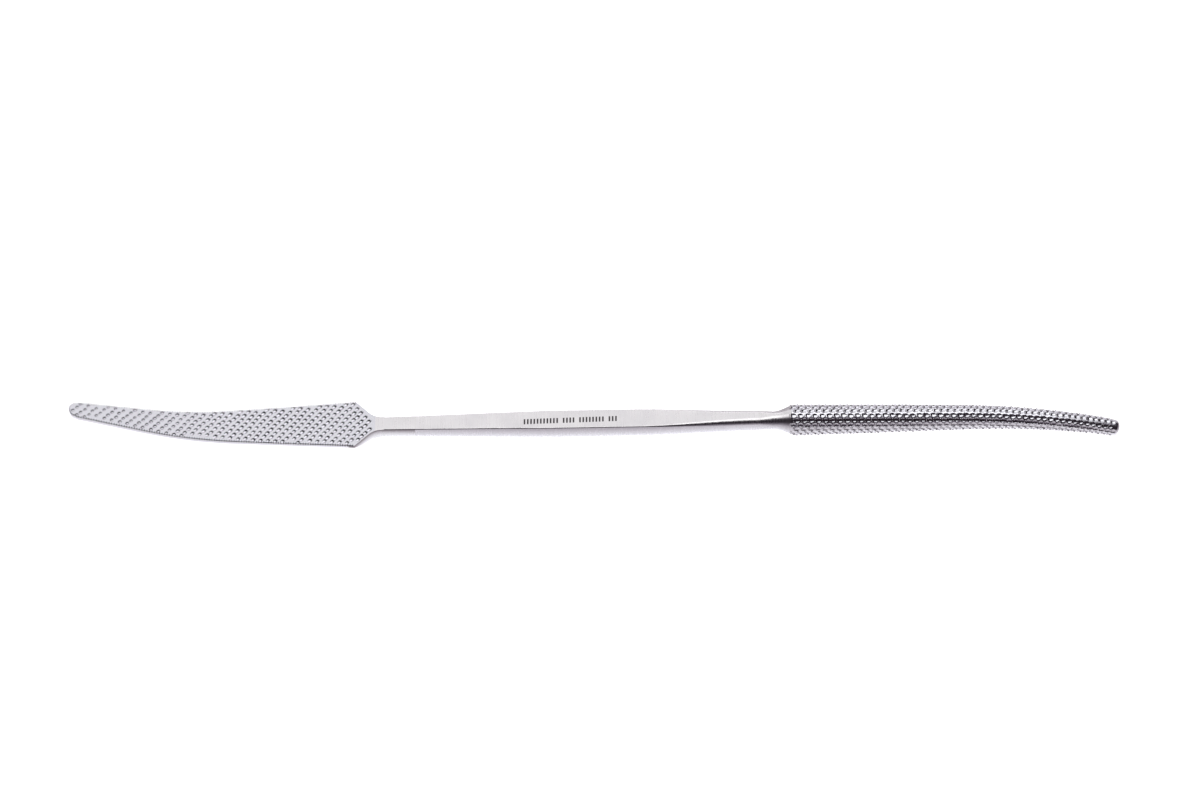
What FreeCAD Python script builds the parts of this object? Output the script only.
import FreeCAD, Part
import math
import os
import Sketcher

# Double-ended rasp for bone and fine wood work: a leaf-shaped flat head and a tapered round
# head, each with a tang that is brazed into a slim bar handle. Millimetres.
#
# The bodies are drawn along +X with the bar's axis on X and the flat head's tip at X = 0.
# The whole tool is then laid down as it rests on a table.

DIMENSIONS = {
    # bar handle: its flat middle, then the two sections between it and each seam
    "land_start": 138.0,
    "land_end": 166.0,
    "bar_width": 6.4,
    "bar_thickness": 4.8,
    "bar_corner": 0.35,
    "side_crown": 5.0,
    "left_step": 11.0,
    "left_outer_width": 5.25,
    "left_outer_thickness": 4.05,
    "left_inner_width": 5.9,
    "left_inner_thickness": 4.6,
    "right_step": 11.0,
    "right_inner_width": 6.05,
    "right_inner_thickness": 4.75,
    "right_inner_corner": 0.8,
    "right_outer_width": 5.35,
    "right_outer_thickness": 4.9,
    "right_outer_corner": 1.4,
    # where each head meets the bar
    "flat_seam": 100.0,
    "flat_seam_width": 4.8,
    "flat_seam_thickness": 3.7,
    "round_seam": 200.2,
    "round_seam_size": 4.95,
    "round_seam_corner": 1.65,
    # brazed joints
    "film": 0.15,
    "tang_length": 14.0,
    "tongue_width": 3.2,
    "tongue_thickness": 1.6,
    "pin_diameter": 3.0,
    # flat head
    "neck_start": 88.5,
    "neck_width": 4.5,
    "neck_thickness": 3.5,
    "root_crown": 100.0,
    "root_lap": 2.5,
    "shoulder": 82.5,
    "shoulder_width": 15.6,
    "shoulder_depth": 3.8,
    "shoulder_side": 1.1,
    "shoulder_fillet": 5.5,
    "tip_depth": 1.9,
    "tip_side": 1.5,
    "tip_width": 4.7,
    "nose_radius": 2.3,
    "flat_bend_start": 47.6,
    "flat_bend_radius": 90.0,
    "flat_bend_angle": 17.0,
    # round head
    "flare_start": 203.95,
    "flare_diameter": 5.15,
    "flare_corner": 2.4,
    "flare_radius": 7.0,
    "flare_angle": 22.8,
    "teeth_start": 209.7,
    "round_diameter": 8.8,
    "round_taper": 0.0274,
    "round_swell": 0.00018,
    "round_bend_start": 258.5,
    "round_bend_radius": 160.0,
    "round_bend_angle": 16.3,
    "round_tip_corner": 1.6,
    # how far the turned ends run into the head they finish, and how far under its surface
    "turned_lap": 0.5,
    "turned_inset": 0.05,
    # clearance round an outline that cuts, and a depth that cuts right through
    "cut_margin": 2.0,
    "cut_through": 60.0,
}

FLAT_BEND_STEPS = 5
ROUND_BEND_STEPS = 5

# The resting tilt is looked for between plus and minus this many degrees, in halvings.
TILT_LIMIT = 10.0
TILT_HALVINGS = 24

document = FreeCAD.newDocument("double_ended_rasp")
sheet = document.addObject("Spreadsheet::Sheet", "dims")
for row, (alias, size) in enumerate(DIMENSIONS.items(), start=1):
    sheet.set(f"A{row}", alias)
    sheet.set(f"B{row}", str(size))
    sheet.setAlias(f"B{row}", alias)
document.recompute()


def value(expression):
    """The number that an expression in the sheet's names comes to."""
    return float(sheet.evalExpression(expression))


def new_body(label):
    body = document.addObject("PartDesign::Body", label)
    body.Label = label
    return body


def new_sketch(body, name, plane, offset=("0", "0", "0"), turn="0", axis=(1, 0, 0)):
    """A sketch on one of the body's origin planes, moved by offset and turned by turn degrees
    about axis, both in the sketch's own axes: on YZ_Plane those are the body's Y, Z and X,
    and on XZ_Plane its X, Z and -Y."""
    sketch = body.newObject("Sketcher::SketchObject", name)
    support = next(item for item in body.Origin.OriginFeatures if item.Role == plane)
    sketch.AttachmentSupport = [(support, "")]
    sketch.MapMode = "FlatFace"
    sketch.AttachmentOffset = FreeCAD.Placement(
        FreeCAD.Vector(), FreeCAD.Rotation(FreeCAD.Vector(axis), 1.0))
    for direction, expression in zip("xyz", offset):
        sketch.setExpression(f".AttachmentOffset.Base.{direction}", expression)
    sketch.setExpression(".AttachmentOffset.Rotation.Angle", f"({turn}) * 1 deg")
    return sketch


def bind(sketch, constraint, expression):
    index = sketch.addConstraint(constraint)
    sketch.setExpression(f"Constraints[{index}]", expression)


def pin_point(sketch, edge, end, point):
    """Hold one end of an edge at a point given as two expressions."""
    for kind, expression in zip(("DistanceX", "DistanceY"), point):
        bind(sketch, Sketcher.Constraint(kind, edge, end, value(expression)), expression)


def short_arc(start, end, radius):
    """The shorter arc of a radius between two points, drawn anticlockwise from start to end."""
    chord = end - start
    half = chord.Length / 2
    away = math.sqrt(max(radius * radius - half * half, 0.0))
    left = FreeCAD.Vector(-chord.y, chord.x, 0).normalize()
    centre = (start + end) / 2 + left * away
    first = math.atan2(start.y - centre.y, start.x - centre.x)
    last = math.atan2(end.y - centre.y, end.x - centre.x)
    circle = Part.Circle(centre, FreeCAD.Vector(0, 0, 1), radius)
    return Part.ArcOfCircle(circle, first, last)


def draw_outline(sketch, points, radii=None):
    """A closed outline through points given as pairs of expressions. radii maps the number
    of a side to the radius expression that makes that side an arc, which goes anticlockwise
    round its centre if the radius is positive and clockwise if it is negative."""
    radii = radii or {}
    corners = [FreeCAD.Vector(value(x), value(y), 0) for x, y in points]
    for side, start in enumerate(corners):
        after = (side + 1) % len(corners)
        end = corners[after]
        if side not in radii:
            edge = sketch.addGeometry(Part.LineSegment(start, end))
            pin_point(sketch, edge, 1, points[side])
            pin_point(sketch, edge, 2, points[after])
            continue
        radius = value(radii[side])
        if radius > 0:
            edge = sketch.addGeometry(short_arc(start, end, radius))
            pin_point(sketch, edge, 1, points[side])
            pin_point(sketch, edge, 2, points[after])
        else:
            edge = sketch.addGeometry(short_arc(end, start, -radius))
            pin_point(sketch, edge, 2, points[side])
            pin_point(sketch, edge, 1, points[after])
        bind(sketch, Sketcher.Constraint("Radius", edge, abs(radius)), f"abs({radii[side]})")


def draw_rectangle(sketch, width, height):
    right, top = f"({width}) / 2", f"({height}) / 2"
    draw_outline(sketch, [(f"-{right}", f"-{top}"), (right, f"-{top}"),
                          (right, top), (f"-{right}", top)])


def draw_crowned_bar(sketch, width, height, corner, crown):
    """A bar's section: flat top and bottom, rounded corners, and sides that swell out to a
    crown radius. The width is taken where the sides would stand if they were straight."""
    top = f"({height}) / 2"
    rise = f"(({top} - ({corner})) / (({crown}) - ({corner})))"
    run = f"sqrt(1 - {rise} * {rise})"
    flat = f"(({width}) / 2 - ({corner}))"
    crown_centre = f"({flat} - (({crown}) - ({corner})) * {run})"
    right = f"({crown_centre} + ({crown}) * {run})"
    right_top = f"(({crown}) * {rise})"
    points = [
        (f"-{flat}", f"-{top}"), (flat, f"-{top}"),
        (right, f"-{right_top}"), (right, right_top),
        (flat, top), (f"-{flat}", top),
        (f"-{right}", right_top), (f"-{right}", f"-{right_top}"),
    ]
    draw_outline(sketch, points, {1: corner, 2: crown, 3: corner,
                                  5: corner, 6: crown, 7: corner})


def draw_circle(sketch, diameter):
    edge = sketch.addGeometry(Part.Circle(FreeCAD.Vector(), FreeCAD.Vector(0, 0, 1),
                                          value(diameter) / 2))
    sketch.addConstraint(Sketcher.Constraint("Coincident", edge, 3, -1, 1))
    bind(sketch, Sketcher.Constraint("Diameter", edge, value(diameter)), diameter)


def bar_section(body, name, station, width, height, corner, crown="dims.side_crown"):
    sketch = new_sketch(body, name, "YZ_Plane", ("0", "0", station))
    draw_crowned_bar(sketch, width, height, corner, crown)
    return sketch


def tongue_section(body, name, station, width, height):
    sketch = new_sketch(body, name, "YZ_Plane", ("0", "0", station))
    draw_rectangle(sketch, width, height)
    return sketch


def round_section(body, name, station, diameter):
    sketch = new_sketch(body, name, "YZ_Plane", ("0", "0", station))
    draw_circle(sketch, diameter)
    return sketch


def add_loft(body, name, sections):
    loft = body.newObject("PartDesign::AdditiveLoft", name)
    loft.Profile = sections[0]
    loft.Sections = sections[1:]
    loft.Refine = False
    document.recompute()
    return loft


def add_pad(body, name, sketch, length):
    pad = body.newObject("PartDesign::Pad", name)
    pad.Profile = sketch
    pad.setExpression("Length", length)
    document.recompute()
    return pad


def revolve(body, name, sketch):
    feature = body.newObject("PartDesign::Revolution", name)
    feature.Profile = sketch
    feature.ReferenceAxis = (sketch, ["H_Axis"])
    feature.Angle = 360
    document.recompute()


def cut_pocket(body, name, sketch, length, reversed_way=False, midplane=False):
    """A pocket that must take material away, because one that points the wrong way cuts
    nothing and reports nothing."""
    before = body.Shape.Volume
    pocket = body.newObject("PartDesign::Pocket", name)
    pocket.Profile = sketch
    pocket.Reversed = reversed_way
    pocket.Midplane = midplane
    pocket.setExpression("Length", length)
    document.recompute()
    if body.Shape.Volume > before - 1e-3:
        raise RuntimeError(f"{name} cuts nothing")
    return pocket


def make_handle_bar():
    """Slim bar with gently swelled sides: square-edged and tapered towards the flat head, with
    flat lands in the middle, and rounding off towards the round head. Each end has a blind
    socket for a tang."""
    body = new_body("handle_bar")
    left_end = "dims.flat_seam + dims.film"
    right_end = "dims.round_seam - dims.film"
    corner = "dims.bar_corner"
    left_sections = [
        bar_section(body, "left_end", left_end,
                    "dims.flat_seam_width", "dims.flat_seam_thickness", corner),
        bar_section(body, "left_outer", "dims.flat_seam + dims.left_step",
                    "dims.left_outer_width", "dims.left_outer_thickness", corner),
        bar_section(body, "left_inner", "dims.land_start - dims.left_step",
                    "dims.left_inner_width", "dims.left_inner_thickness", corner),
        bar_section(body, "left_land", "dims.land_start",
                    "dims.bar_width", "dims.bar_thickness", corner),
    ]
    add_loft(body, "left_taper", left_sections)
    land = bar_section(body, "land", "dims.land_start",
                       "dims.bar_width", "dims.bar_thickness", corner)
    add_pad(body, "middle", land, "dims.land_end - dims.land_start")
    right_sections = [
        bar_section(body, "right_land", "dims.land_end",
                    "dims.bar_width", "dims.bar_thickness", corner),
        bar_section(body, "right_inner", "dims.land_end + dims.right_step",
                    "dims.right_inner_width", "dims.right_inner_thickness",
                    "dims.right_inner_corner"),
        bar_section(body, "right_outer", "dims.round_seam - dims.right_step",
                    "dims.right_outer_width", "dims.right_outer_thickness",
                    "dims.right_outer_corner"),
        bar_section(body, "right_end", right_end, "dims.round_seam_size",
                    "dims.round_seam_size", "dims.round_seam_corner"),
    ]
    add_loft(body, "right_taper", right_sections)
    mortise = tongue_section(body, "mortise", left_end, "dims.tongue_width + 2 * dims.film",
                             "dims.tongue_thickness + 2 * dims.film")
    cut_pocket(body, "tongue_socket", mortise, "dims.tang_length", reversed_way=True)
    bore = round_section(body, "bore", right_end, "dims.pin_diameter + 2 * dims.film")
    cut_pocket(body, "pin_socket", bore, "dims.tang_length")
    return body


def flat_station(name, body, angle, past_bend="0", before_bend="0"):
    """One section of the flat head. Its top stays level as far as the bend, turns up through
    the bend and runs on straight. The width, side and depth shrink evenly to the tip."""
    bend = "dims.flat_bend_radius"
    station = (f"dims.flat_bend_start + ({before_bend}) - {bend} * sin({angle})"
               f" - ({past_bend}) * cos({angle})")
    rise = f"{bend} * (1 - cos({angle})) + ({past_bend}) * sin({angle})"
    run = (f"max(0; dims.shoulder - dims.flat_bend_start - ({before_bend})"
           f" + {bend} * ({angle}) * pi / 180 + ({past_bend}))")
    share = f"(({run}) / ({FLAT_LENGTH}))"
    width = f"dims.shoulder_width + (dims.tip_width - dims.shoulder_width) * {share}"
    side = f"dims.shoulder_side + (dims.tip_side - dims.shoulder_side) * {share}"
    depth = f"dims.shoulder_depth + (dims.tip_depth - dims.shoulder_depth) * {share}"
    level = f"dims.neck_thickness / 2 + {rise}"
    sketch = new_sketch(body, name, "YZ_Plane", ("0", level, station), angle)
    edge = f"(({width}) / 2)"
    belly = f"(({depth}) - ({side}))"
    belly_radius = f"({edge} * {edge} + {belly} * {belly}) / (2 * {belly})"
    points = [(f"-{edge}", "0"), (f"-{edge}", f"-({side})"), (edge, f"-({side})"), (edge, "0")]
    draw_outline(sketch, points, {1: belly_radius})
    return sketch


FLAT_STRAIGHT = ("((dims.flat_bend_start - dims.flat_bend_radius * sin(dims.flat_bend_angle))"
                 " / cos(dims.flat_bend_angle))")
FLAT_LENGTH = ("(dims.shoulder - dims.flat_bend_start"
               " + dims.flat_bend_radius * dims.flat_bend_angle * pi / 180"
               f" + {FLAT_STRAIGHT})")


def make_flat_blade(body):
    level = "(dims.shoulder - dims.flat_bend_start)"
    sections = [
        flat_station("blade_root", body, "0", before_bend="dims.neck_start + dims.root_lap"
                     " - dims.flat_bend_start"),
        flat_station("blade_shoulder", body, "0", before_bend=level),
    ]
    add_loft(body, "blade_back", sections)
    sections = [flat_station("blade_front", body, "0", before_bend=level)]
    for part in (2, 1):
        sections.append(flat_station(f"blade_level_{part}", body, "0",
                                     before_bend=f"{level} * {part} / 3"))
    for step in range(FLAT_BEND_STEPS + 1):
        angle = f"(dims.flat_bend_angle * {step} / {FLAT_BEND_STEPS})"
        sections.append(flat_station(f"blade_bend_{step}", body, angle))
    for part in (1, 2, 3):
        sections.append(flat_station(f"blade_straight_{part}", body, "dims.flat_bend_angle",
                                     past_bend=f"{FLAT_STRAIGHT} * {part} / 3"))
    add_loft(body, "blade", sections)


def cut_shoulders(body):
    """Each side slopes in at 45 degrees behind the shoulder, then a fillet runs out into
    the neck."""
    fillet = "dims.shoulder_fillet"
    corner = "dims.shoulder_width / 2"
    neck = "dims.neck_width / 2"
    # the fillet touches the 45 degree slope and the neck's side
    slope_end = f"({neck} + {fillet} * (1 - cos(45)))"
    slope_end_x = f"(dims.shoulder + {corner} - {slope_end})"
    neck_x = f"({slope_end_x} + {fillet} * sin(45))"
    outside = f"({corner} + dims.cut_margin)"
    behind = f"({neck_x} + 3 * dims.cut_margin)"
    for name, side in (("near", "-1"), ("far", "1")):
        sketch = new_sketch(body, f"{name}_shoulder_outline", "XY_Plane")
        points = [
            ("dims.shoulder - dims.cut_margin", f"{side} * {outside}"),
            (slope_end_x, f"{side} * {slope_end}"),
            (neck_x, f"{side} * {neck}"),
            (behind, f"{side} * {neck}"),
            (behind, f"{side} * {outside}"),
        ]
        draw_outline(sketch, points, {1: f"{fillet} * {side}"})
        cut_pocket(body, f"{name}_shoulder", sketch, "dims.cut_through", midplane=True)


def round_nose(body):
    """The blade's end is a half circle in plan. Its radius is a hair over half the width, so
    that the arc never comes to more than a half circle."""
    radius = "dims.nose_radius"
    sketch = new_sketch(body, "nose_outline", "XY_Plane")
    outside = f"2 * {radius}"
    points = [(radius, f"-{radius}"), (radius, radius), (radius, outside),
              ("-dims.cut_margin", outside), ("-dims.cut_margin", f"-{outside}"),
              (radius, f"-{outside}")]
    draw_outline(sketch, points, {0: f"-1.0001 * {radius}"})
    cut_pocket(body, "nose", sketch, "dims.cut_through", midplane=True)


def make_flat_rasp_head():
    """Leaf-shaped blade with a flat top, upright sides and a rounded belly, its tip turned up,
    then a neck and a flat tongue that goes into the bar."""
    body = new_body("flat_rasp_head")
    make_flat_blade(body)
    cut_shoulders(body)
    neck = [
        bar_section(body, "neck_root", "dims.neck_start",
                    "dims.neck_width", "dims.neck_thickness", "dims.bar_corner",
                    "dims.root_crown"),
        bar_section(body, "neck_end", "dims.flat_seam", "dims.flat_seam_width",
                    "dims.flat_seam_thickness", "dims.bar_corner"),
    ]
    add_loft(body, "neck", neck)
    round_nose(body)
    tongue = tongue_section(body, "tongue_outline", "dims.flat_seam",
                            "dims.tongue_width", "dims.tongue_thickness")
    add_pad(body, "tongue", tongue, "dims.tang_length")
    return body


def round_station(name, body, angle, before_bend="0"):
    """One circular section of the round head, whose axis is straight as far as the bend and
    then turns down through it."""
    bend = "dims.round_bend_radius"
    station = f"dims.round_bend_start - ({before_bend}) + {bend} * sin({angle})"
    drop = f"{bend} * (1 - cos({angle}))"
    run = (f"(dims.round_bend_start - ({before_bend}) - dims.teeth_start"
           f" + {bend} * ({angle}) * pi / 180)")
    sketch = new_sketch(body, name, "YZ_Plane", ("0", f"-{drop}", station), angle)
    draw_circle(sketch, round_diameter_at(run))
    return sketch


def round_diameter_at(run):
    """The round head's diameter at a distance along its axis from the first teeth."""
    return (f"(dims.round_diameter - dims.round_taper * {run}"
            f" - dims.round_swell * {run} * {run})")


def make_round_shank(body):
    """From the tang to the teeth: a short neck and a cone that flares out to the full size."""
    neck = [
        bar_section(body, "round_neck_end", "dims.round_seam", "dims.round_seam_size",
                    "dims.round_seam_size", "dims.round_seam_corner"),
        bar_section(body, "round_neck_front", "dims.flare_start", "dims.flare_diameter",
                    "dims.flare_diameter", "dims.flare_corner"),
    ]
    add_loft(body, "round_neck", neck)
    sketch = new_sketch(body, "flare_outline", "XZ_Plane")
    neck_radius = "dims.flare_diameter / 2"
    bend_end = f"({neck_radius} + dims.flare_radius * (1 - cos(dims.flare_angle)))"
    bend_end_x = "(dims.flare_start + dims.flare_radius * sin(dims.flare_angle))"
    points = [
        ("dims.flare_start - dims.turned_lap", "0"),
        ("dims.flare_start - dims.turned_lap", f"{neck_radius} - dims.turned_inset"),
        ("dims.flare_start", neck_radius),
        (bend_end_x, bend_end),
        ("dims.teeth_start", "dims.round_diameter / 2"),
        ("dims.teeth_start", "0"),
    ]
    draw_outline(sketch, points, {2: "dims.flare_radius"})
    revolve(body, "flare", sketch)


def make_round_rasp_head():
    """Tapered round rasp whose front half bends down, with a flared shoulder, a neck and a
    round pin that goes into the bar."""
    body = new_body("round_rasp_head")
    straight = "(dims.round_bend_start - dims.teeth_start)"
    sections = [round_station(f"round_level_{part}", body, "0",
                              before_bend=f"{straight} * {part} / 3") for part in (3, 2, 1)]
    for step in range(ROUND_BEND_STEPS + 1):
        angle = f"(dims.round_bend_angle * {step} / {ROUND_BEND_STEPS})"
        sections.append(round_station(f"round_bend_{step}", body, angle))
    add_loft(body, "round_body", sections)
    make_round_shank(body)
    pin = round_section(body, "pin_outline", "dims.round_seam - dims.tang_length",
                        "dims.pin_diameter")
    add_pad(body, "pin", pin, "dims.tang_length")
    round_off_tip(body)
    return body


def round_off_tip(body):
    """A blunt rounded cap on the end of the round head, in line with its axis there."""
    angle = "dims.round_bend_angle"
    station = f"dims.round_bend_start + dims.round_bend_radius * sin({angle})"
    drop = f"dims.round_bend_radius * (1 - cos({angle}))"
    run = ("(dims.round_bend_start - dims.teeth_start"
           f" + dims.round_bend_radius * {angle} * pi / 180)")
    end_radius = f"{round_diameter_at(run)} / 2"
    corner = "dims.round_tip_corner"
    sketch = new_sketch(body, "tip_outline", "XZ_Plane", (station, f"-({drop})", "0"),
                        f"-{angle}", (0, 0, 1))
    points = [("-dims.turned_lap", "0"),
              ("-dims.turned_lap", f"{end_radius} - dims.turned_inset"), ("0", end_radius),
              (corner, f"{end_radius} - {corner}"), (corner, "0")]
    draw_outline(sketch, points, {2: f"-{corner}"})
    revolve(body, "tip", sketch)


def make_flat_tang_braze():
    """Thin film of braze round the tongue, with a collar between the neck and the bar that is
    ground flush with both."""
    body = new_body("flat_tang_braze")
    collar = bar_section(body, "collar_outline", "dims.flat_seam", "dims.flat_seam_width",
                         "dims.flat_seam_thickness", "dims.bar_corner")
    add_pad(body, "collar", collar, "dims.film")
    sleeve = tongue_section(body, "sleeve_outline", "dims.flat_seam",
                            "dims.tongue_width + 2 * dims.film",
                            "dims.tongue_thickness + 2 * dims.film")
    add_pad(body, "sleeve", sleeve, "dims.tang_length + dims.film")
    inside = tongue_section(body, "inside_outline", "dims.flat_seam",
                            "dims.tongue_width", "dims.tongue_thickness")
    cut_pocket(body, "inside", inside, "dims.tang_length", reversed_way=True)
    return body


def make_round_tang_braze():
    """Thin film of braze round the pin, with a collar between the bar and the round head."""
    body = new_body("round_tang_braze")
    collar = bar_section(body, "collar_outline", "dims.round_seam - dims.film",
                         "dims.round_seam_size", "dims.round_seam_size",
                         "dims.round_seam_corner")
    add_pad(body, "collar", collar, "dims.film")
    sleeve = round_section(body, "sleeve_outline",
                           "dims.round_seam - dims.tang_length - dims.film",
                           "dims.pin_diameter + 2 * dims.film")
    add_pad(body, "sleeve", sleeve, "dims.tang_length + dims.film")
    inside = round_section(body, "inside_outline", "dims.round_seam", "dims.pin_diameter")
    cut_pocket(body, "inside", inside, "dims.tang_length")
    return body


def lowest(shape, pitch):
    """How low a shape reaches once the tool is turned about Y by pitch degrees."""
    turned = shape.copy()
    turned.rotate(FreeCAD.Vector(), FreeCAD.Vector(0, 1, 0), pitch)
    return turned.optimalBoundingBox(False).ZMin


def resting_placement(flat_head, round_head):
    """The tool lies on the flat head's belly and the round head's tip, so it is turned until
    both reach the same height. The origin is then under the middle of its box."""
    low, high = -TILT_LIMIT, TILT_LIMIT
    for _ in range(TILT_HALVINGS):
        pitch = (low + high) / 2
        if lowest(flat_head.Shape, pitch) > lowest(round_head.Shape, pitch):
            high = pitch
        else:
            low = pitch
    turn = FreeCAD.Rotation(FreeCAD.Vector(0, 1, 0), pitch)
    box = FreeCAD.BoundBox()
    for head in (flat_head, round_head):
        turned = head.Shape.copy()
        turned.rotate(FreeCAD.Vector(), FreeCAD.Vector(0, 1, 0), pitch)
        box.add(turned.optimalBoundingBox(False))
    shift = FreeCAD.Vector(-(box.XMin + box.XMax) / 2, 0, -box.ZMin)
    return FreeCAD.Placement(shift, turn)


def check_document(bodies):
    for item in document.Objects:
        if "Invalid" in item.State or "Error" in item.State:
            raise RuntimeError(f"{item.Label} failed: {item.getStatusString()}")
    for body in bodies:
        if body.Shape.isNull() or not body.Shape.isValid():
            raise RuntimeError(f"{body.Label} has no valid shape")


def main():
    flat_head = make_flat_rasp_head()
    round_head = make_round_rasp_head()
    bodies = [make_handle_bar(), flat_head, round_head,
              make_flat_tang_braze(), make_round_tang_braze()]
    document.recompute()
    check_document(bodies)
    rest = resting_placement(flat_head, round_head)
    for body in bodies:
        body.Placement = rest
    document.recompute()
    check_document(bodies)
    for name, side in (("top", 1), ("bottom", -1)):
        land = rest.multVec(FreeCAD.Vector(value("(dims.land_start + dims.land_end) / 2"), 0,
                                           side * value("dims.bar_thickness / 2")))
        normal = rest.Rotation.multVec(FreeCAD.Vector(0, 0, side))
        print(f"{name} land: at {land.x:.4f} {land.y:.4f} {land.z:.4f},"
              f" facing {normal.x:.6f} {normal.y:.6f} {normal.z:.6f}")
    os.makedirs("parts", exist_ok=True)
    for body in bodies:
        body.Shape.exportStep(f"parts/{body.Label}.step")
        box = body.Shape.optimalBoundingBox(False)
        print(f"{body.Label}: {len(body.Shape.Solids)} solid, {body.Shape.Volume:.2f} mm3, "
              f"X {box.XMin:.2f}..{box.XMax:.2f}, Z {box.ZMin:.2f}..{box.ZMax:.2f}")


main()
